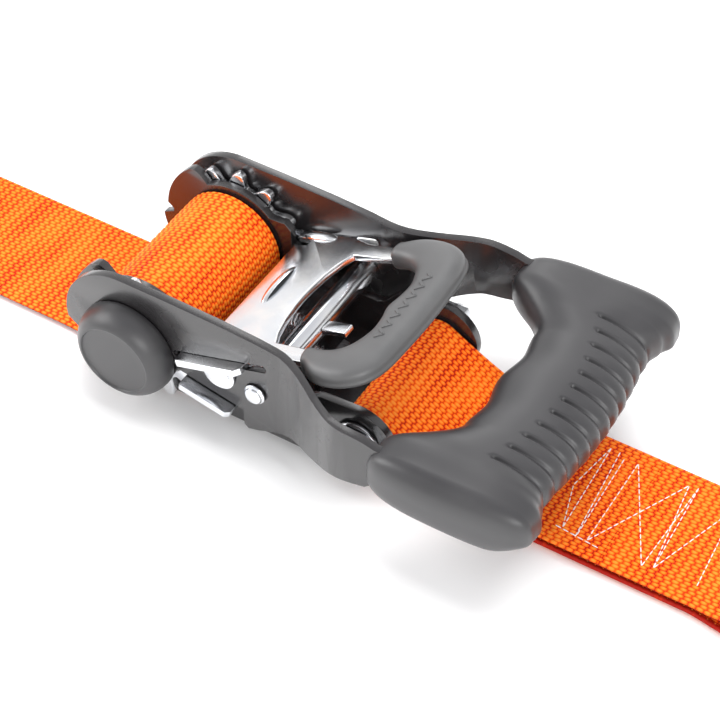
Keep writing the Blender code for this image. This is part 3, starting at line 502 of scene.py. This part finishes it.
def drift(x):
    """The doubled webbing lies a little to the far side of the ratchet's middle."""
    rise = min(max((x - 96 * mm) / (34 * mm), 0), 1)
    fall = min(max((218 * mm - x) / (20 * mm), 0), 1)
    return 2.2 * mm * rise * rise * (3 - 2 * rise) * fall * fall * (3 - 2 * fall)


def route_points(*pairs):
    """Points of a route from (x, z) pairs in millimetres."""
    return [Vector((x, 0, z)) * mm for x, z in pairs]


lying = double / mm
slope = route_points((sewn_middle / mm, lying), (140, lying), (131, lying), (120, 8.2),
                     (104, 17.8), (91, 25.4))
return_run = route_points((96, 12.4), (104, 9.2), (118, 1.8), (126, 0), (140, 0),
                          (210, 0), (226, 0.1))
eye_top = route_points((229, 12.6), (218, 9.4), (208, 5.8), (200, lying), (190, lying),
                       (sewn_middle / mm, lying))
band = (round_route(slope) + route_arc(anchor_x, anchor_z, loop_r, 62, 282)
        + round_route(return_run) + route_arc(eye_x, eye_z, eye_r, -90, 96) + round_route(eye_top))
short_web, short_length = woven_tape("short_webbing_band", band, -1, skew=drift)
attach(short_web, "base")
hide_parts("short_webbing")


# The long webbing: a flat run from the stored roll to the underside of the spool, the
# turns on the spool, the stored turns, and a sewn end round the long hook's eye.
roll_x, roll_z, roll_r, core_r = -216.885 * mm, 46 * mm, 46 * mm, 12 * mm
wound_r = 20.5 * mm


def side_step(x):
    """The flat run also lies a little to the far side, where it leaves the ratchet."""
    near = min(max((-8 * mm - x) / (34 * mm), 0), 1)
    away = min(max((x + 176 * mm) / (40 * mm), 0), 1)
    return 2.2 * mm * near * near * (3 - 2 * near) * away * away * (3 - 2 * away)


flat_low, flat_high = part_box("long_webbing_flat")
flat_route = [Vector((flat_high.x, 0, web_thick)), Vector((-90 * mm, 0, web_thick)),
              Vector((flat_low.x, 0, web_thick))]
flat_web, flat_length = woven_tape("long_webbing_flat_tape", flat_route, -1, skew=side_step)
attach(flat_web, "base")
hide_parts("long_webbing_flat")


turn_gap = 0.06 * mm


def spiral(x, z, outer, turns, start, per_turn=48):
    """Turns of tape wound inwards, one thickness a turn, from an angle in degrees."""
    points = []
    for i in range(round(turns * per_turn) + 1):
        turn = i / per_turn
        radius = outer - (web_thick + turn_gap) * turn
        angle = math.radians(start + 360 * turn)
        points.append(Vector((x + radius * math.cos(angle), 0, z + radius * math.sin(angle))))
    return points


outer_turn, outer_length = woven_tape("wound_webbing_outer_turn",
                                      spiral(0, spool_z, wound_r, 1.0, -78, 120), -1)
inner_spiral = spiral(0, spool_z, wound_r - web_thick - turn_gap, 3.9, -78)
inner_turns, inner_length = woven_tape("wound_webbing_inner_turns", inner_spiral, -1, fine=False)
for piece in (outer_turn, inner_turns):
    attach(piece, "spool")
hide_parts("wound_webbing")
store_turns = (roll_r - core_r) / (web_thick + turn_gap) - 0.5
stored_spiral = spiral(roll_x, roll_z, roll_r, store_turns, -90)
stored_roll, stored_length = woven_tape("long_webbing_stored_roll", stored_spiral, -1, fine=False)
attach(stored_roll, "base")
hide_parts("long_webbing_roll")

tail_angle = 150
tail_in = roll_r + 0.3 * mm
tail_eye = tail_in + eye_r
tail_x = roll_x + tail_eye * math.cos(math.radians(tail_angle))
tail_z = roll_z + tail_eye * math.sin(math.radians(tail_angle))
tail_out = tail_in + double
tail_route = (route_arc(roll_x, roll_z, tail_out, 84, tail_angle - 17)
              + route_arc(tail_x, tail_z, eye_r, tail_angle - 12, tail_angle + 180)
              + route_arc(roll_x, roll_z, tail_in, tail_angle - 1, 84))
sewn_end, end_length = woven_tape("long_webbing_sewn_end", tail_route, 1)
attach(sewn_end, "base")
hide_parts("long_webbing_end")

# ---------------------------------------------------------------- lockstitching
# White bonded thread, lockstitched through both layers of the short webbing: bars
# across the tape with zigzags beside them.
thread, tree, shader = new_material("white_thread", (0.86, 0.84, 0.83), 0.55)
twist = add_noise(tree, 2500, 2)
tone = add_ramp(tree, twist.outputs["Fac"], [(0.35, (0.72, 0.62, 0.58)), (0.6, (0.9, 0.88, 0.87))])
tree.links.new(tone, shader.inputs["Base Color"])
add_bump(tree, shader, twist.outputs["Fac"], 0.4, 0.08 * mm)
stitch_length, stitch_share = 2.6 * mm, 0.86     # the rest of the length is the gap
thread_r = 0.22 * mm
stitch_top = double + 0.02 * mm
seams = (((150.3, 22.7), (152.3, -15.6)), ((153.6, 22.7), (157.5, -17.3)),
         ((156.1, 20.6), (157.6, -16.2)), ((160.9, 21.1), (161.3, -16.4)),
         ((149.6, -15.9), (166.0, -17.3)), ((152.3, -15.6), (147.0, 2.0)),
         ((147.0, 2.0), (150.3, 22.7)), ((161.3, -16.4), (179.2, 21.2)),
         ((179.2, 21.2), (184.2, -15.5)), ((182.3, 22.1), (184.2, -15.5)),
         ((160.9, 21.1), (180.7, -16.7)), ((180.7, -16.7), (182.3, 22.1)),
         ((184.2, -15.5), (196.0, 20.0)), ((196.0, 20.0), (199.0, -15.0)))
shape = bmesh.new()
for start, end in seams:
    a, b = Vector((*start, 0)) * mm, Vector((*end, 0)) * mm
    count = max(1, round((b - a).length / stitch_length))
    turn = math.atan2(b.y - a.y, b.x - a.x)
    for i in range(count):
        spot = a.lerp(b, (i + 0.5) / count)
        length = (b - a).length / count * stitch_share
        place = (Matrix.Translation((spot.x, spot.y, stitch_top)) @ Matrix.Rotation(turn, 4, "Z")
                 @ Matrix.Diagonal((length / 2, thread_r, thread_r * 0.9, 1)))
        bmesh.ops.create_uvsphere(shape, u_segments=8, v_segments=6, radius=1, matrix=place)
stitching = new_piece("lockstitching", shape, thread)
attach(stitching, "base")

# ---------------------------------------------------------------- grip
# One rubber moulding over the handle's arms: a bar shaped to the palm between two
# end lobes, with twelve finger grooves across its outer half.
grip_half = 56.8 * mm
grip_lift = 2.8 * mm
rows, columns = 330, 160
cap_rows, cap_round = 16, 2 / 2.7
shoulder = 50.2 * mm


def blend_between(stops, at):
    """Smoothly joins (position, value) stops."""
    if at <= stops[0][0]:
        return stops[0][1]
    for (a, low), (b, high) in zip(stops, stops[1:]):
        if at <= b:
            t = (at - a) / (b - a)
            return low + (high - low) * t * t * (3 - 2 * t)
    return stops[-1][1]


front_edge = ((0, 118.2), (12, 120.2), (23, 118.6), (43.5, 100.4), (50, 100.4), (57, 102.4))
back_edge = ((0, 157.6), (10, 157.2), (20, 156.2), (30, 155.0), (37, 154.6), (41, 156.0), (45.4, 158.2),
             (50, 157.8), (54, 156.8), (57, 155.6))
top_height = ((0, 45.6), (20, 45.7), (34, 45.9), (42, 46.6), (50, 46.2), (57, 45.4))
low_height = ((0, 26.6), (30, 26.2), (38, 25.0), (46, 23.4), (50, 23.6), (57, 25.6))
squareness = ((0, 2.3), (32, 2.35), (42, 2.9), (50, 3.1), (57, 2.9))
front_squareness = ((0, 2.3), (30, 2.4), (46, 3.5), (57, 3.3))
lobe_pivot, lobe_heel, palm_pivot = 131, 143, 139     # where the top and bottom tilt about
groove_pitch, slit_depth, valley_depth = 6.4, 1.6, 1.9
groove_start, groove_bow, groove_span = 143, 0.0057, 38.5
slit_half, slit_run, valley_run = 0.95, 2, 13         # a slit widens into an open valley
grooves = [(k - 5.5) * groove_pitch for k in range(12)]
shape = bmesh.new()
bmesh.ops.create_uvsphere(shape, u_segments=columns, v_segments=rows, radius=1)
for vert in shape.verts:
    row = math.asin(max(-1, min(1, vert.co.z))) / math.pi * rows
    turn = math.atan2(vert.co.y, vert.co.x)
    pole = abs(vert.co.z) > 0.99999
    side = 1 if row > 0 else -1
    reach = rows / 2 - abs(row)
    if reach < cap_rows:
        swing = math.pi / 2 * (1 - reach / cap_rows)
        fill = 0 if pole else abs(math.cos(swing)) ** cap_round
        y = side * (shoulder + (grip_half - shoulder) * abs(math.sin(swing)) ** cap_round) / mm
    else:
        fill = 1
        y = row / (rows / 2 - cap_rows) * shoulder / mm
    width = abs(y)
    front, rear = blend_between(front_edge, width), blend_between(back_edge, width)
    low, high = blend_between(low_height, width), blend_between(top_height, width)
    c, s = math.cos(turn), math.sin(turn)
    power = 2 / blend_between(squareness if c > 0 else front_squareness, width)
    x = (front + rear) / 2 + (rear - front) / 2 * fill * math.copysign(abs(c) ** power, c)
    z = (low + high) / 2 + (high - low) / 2 * fill * math.copysign(abs(s) ** power, s)
    lobe = blend_between(((34, 0), (44, 1)), width)
    tilt = 0.075 if x > lobe_pivot else 0.02
    z += lobe * ((x - lobe_pivot) * tilt * (0.65 + 0.35 * s) - 0.6)
    if s < 0 and x > lobe_heel:
        z += lobe * 0.030 * (x - lobe_heel) ** 2 * min(1, -1.3 * s)
    z += (1 - lobe) * 0.035 * (x - palm_pivot) * (0.5 + 0.5 * s)
    start = groove_start - groove_bow * y * y
    if abs(y) < groove_span and x > start - 1.5 and s > -0.35:
        off = min(abs(g - y) for g in grooves)
        outwards = min(max((x - start - slit_run) / valley_run, 0), 1)
        slit = max(0, 1 - (math.hypot(off, max(0, start - x)) / slit_half) ** 2)
        valley = 1 - abs(math.sin(math.pi * min(off, groove_pitch / 2) / groove_pitch)) ** 0.55
        cut = slit_depth * slit * (1 - outwards) + valley_depth * valley * outwards
        cut *= min(max((s + 0.35) / 0.3, 0), 1)
        inward = Vector((-c, 0, -s)).normalized()
        x += inward.x * cut
        z += inward.z * cut
    vert.co = (x * mm, y * mm, z * mm + grip_lift)
bmesh.ops.recalc_face_normals(shape, faces=shape.faces)
grip = new_piece("handle_grip_moulded", shape, rubber)
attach(grip, "handle")
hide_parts("handle_grip")

# ---------------------------------------------------------------- release loop
# A rubber cover moulded over the release lever's two arms into one finger loop, nearly
# flat on top, with a slight lip low on its outer side and raised arrow marks.
loop_plastic, tree, shader = new_material("grey_black_moulding", (0.075, 0.075, 0.076), 0.5)
soft_tone = add_noise(tree, 70, 3)
pebble = add_noise(tree, 2600, 2)
tone = add_ramp(tree, soft_tone.outputs["Fac"],
                [(0.3, (0.060, 0.060, 0.061)), (0.7, (0.085, 0.085, 0.086))])
tree.links.new(tone, shader.inputs["Base Color"])
vary_roughness(tree, shader, soft_tone.outputs["Fac"], 0.40, 0.52)
add_bump(tree, shader, pebble.outputs["Fac"], 0.14, 0.06 * mm)
shader.inputs["Specular IOR Level"].default_value = 1.0
lever_angle = math.radians(18.2)
lever_place = (Matrix.Translation((0, 0, spool_z)) @ Matrix.Rotation(-lever_angle, 4, "Y")
               @ Matrix.Translation((0, 0, -1.15 * mm)))
loop_half_thick = 4.2
inner_line = [(68.6, 24.4), (72.5, 24.3), (76.6, 23.0), (79.8, 20.0), (81.8, 15.6),
              (82.9, 10.5), (82.4, 5.0), (81.2, 0)]
outer_line = [(69.6, 32.6), (74.5, 35.4), (81.0, 36.2), (87.6, 34.8), (92.8, 31.0),
              (95.6, 24.5), (96.6, 14.0), (97.0, 0)]
inner_line += [(s, -y) for s, y in reversed(inner_line[:-1])]
outer_line += [(s, -y) for s, y in reversed(outer_line[:-1])]


def glide(points, at):
    """A point of a Catmull-Rom curve through the points, at from 0 to 1."""
    place = at * (len(points) - 1)
    i = min(int(place), len(points) - 2)
    t = place - i
    p = [Vector(points[max(0, min(len(points) - 1, i + k))]) for k in (-1, 0, 1, 2)]
    return 0.5 * (2 * p[1] + (p[2] - p[0]) * t + (2 * p[0] - 5 * p[1] + 4 * p[2] - p[3]) * t * t
                  + (3 * p[1] - p[0] - 3 * p[2] + p[3]) * t ** 3)


loop_rows, loop_columns, loop_caps = 168, 56, 8
end_round, end_push, lip_reach, top_drop = 0.7, 2.2, 0.7, 0.35
shape = bmesh.new()
bmesh.ops.create_uvsphere(shape, u_segments=loop_columns, v_segments=loop_rows, radius=1)
for vert in shape.verts:
    row = math.asin(max(-1, min(1, vert.co.z))) / math.pi * loop_rows + loop_rows / 2
    turn = math.atan2(vert.co.y, vert.co.x)
    pole = abs(vert.co.z) > 0.99999
    end = min(row, loop_rows - row)
    fill, push = 1, 0
    at = min(max((row - loop_caps) / (loop_rows - 2 * loop_caps), 0), 1)
    if end < loop_caps:
        swing = math.pi / 2 * (1 - end / loop_caps)
        fill = 0 if pole else abs(math.cos(swing)) ** end_round
        push = end_push * abs(math.sin(swing)) ** end_round
    a, b = glide(inner_line, at), glide(outer_line, at)
    middle = (a + b) / 2
    reach = (b - a) / 2
    c, s = math.cos(turn), math.sin(turn)
    out = fill * math.copysign(abs(c) ** (2 / 2.6), c)
    up = fill * math.copysign(abs(s) ** (2 / 3.2), s)
    spot = middle + reach * out
    spot.x -= push
    if c > 0:
        spot += reach.normalized() * lip_reach * math.exp(-((up + 0.42) / 0.16) ** 2) * fill
    rise = loop_half_thick * up - (top_drop * out ** 2 if up > 0 else 0)
    vert.co = lever_place @ Vector((spot.x * mm, spot.y * mm, rise * mm))
bmesh.ops.recalc_face_normals(shape, faces=shape.faces)
loop = new_piece("release_loop_moulded", shape, loop_plastic)
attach(loop, "release")
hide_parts("release_loop_cover")

# Raised marks on the loop's bar: arrows, each of two short strokes.
arrow_slant = math.radians(-38)
stroke = Vector((3.4, 0.9, 1.0)) * mm
shape = bmesh.new()
for y in range(-15, 16, 5):
    for side in (-1, 1):
        arm = (lever_place @ Matrix.Translation(Vector((89.0, y + side * 0.85, 4.05)) * mm)
               @ Matrix.Rotation(side * arrow_slant, 4, "Z") @ Matrix.Diagonal((*stroke, 1)))
        bmesh.ops.create_cube(shape, size=1, matrix=arm)
arrows = new_piece("release_loop_arrows", shape, loop_plastic, smooth=False)
soften = arrows.modifiers.new("moulded_edges", "BEVEL")
soften.width = 0.14 * mm
soften.segments = 2
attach(arrows, "release")

# ---------------------------------------------------------------- release lever's pressed marks
# The lever plate has a lanced louvre near its middle and a pressed bead at each side,
# raised from the zinc-plated sheet.
shadowed = new_material("shadowed_opening", (0.02, 0.02, 0.022), 0.6)[0]
plate_top = 1.25                   # the sheet's upper face, above its own middle, in mm
shape = bmesh.new()
louvre_place = lever_place @ Matrix.Translation(Vector((35.0, 3.6, plate_top - 0.3)) * mm)
louvre_half = Vector((2.6, 10.2, 1.9)) * mm
bmesh.ops.create_uvsphere(shape, u_segments=40, v_segments=24, radius=1,
                          matrix=Matrix.Diagonal((*louvre_half, 1)))
bmesh.ops.bisect_plane(shape, geom=shape.verts[:] + shape.edges[:] + shape.faces[:],
                       plane_co=(1.1 * mm, 0, 0), plane_no=(1, 0, 0), clear_outer=True)
cut_edges = [edge for edge in shape.edges if edge.is_boundary]
opening = bmesh.ops.holes_fill(shape, edges=cut_edges, sides=0)["faces"]
bmesh.ops.inset_region(shape, faces=opening, thickness=0.35 * mm, depth=-0.5 * mm)
# The cut face is sunk in and coloured near black: a painted shadow for the opening under the louvre.
for face in opening:
    face.material_index = 1
bmesh.ops.transform(shape, matrix=louvre_place, verts=shape.verts)
bmesh.ops.recalc_face_normals(shape, faces=shape.faces)
louvre = new_piece("release_lever_louvre", shape, zinc)
louvre.data.materials.append(shadowed)
louvre.data.set_sharp_from_angle(angle=math.radians(40))
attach(louvre, "release")

bead_half = Vector((7.2, 2.4, 1.5)) * mm
shape = bmesh.new()
for side in (-1, 1):
    bead = (lever_place @ Matrix.Translation(Vector((34.0, side * 31.0, plate_top - 0.2)) * mm)
            @ Matrix.Diagonal((*bead_half, 1)))
    bmesh.ops.create_uvsphere(shape, u_segments=32, v_segments=20, radius=1, matrix=bead)
beads = new_piece("release_lever_beads", shape, zinc)
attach(beads, "release")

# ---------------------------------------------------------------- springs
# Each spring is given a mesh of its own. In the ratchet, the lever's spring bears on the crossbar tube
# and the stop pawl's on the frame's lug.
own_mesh(lever_spring)
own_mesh(stop_spring)
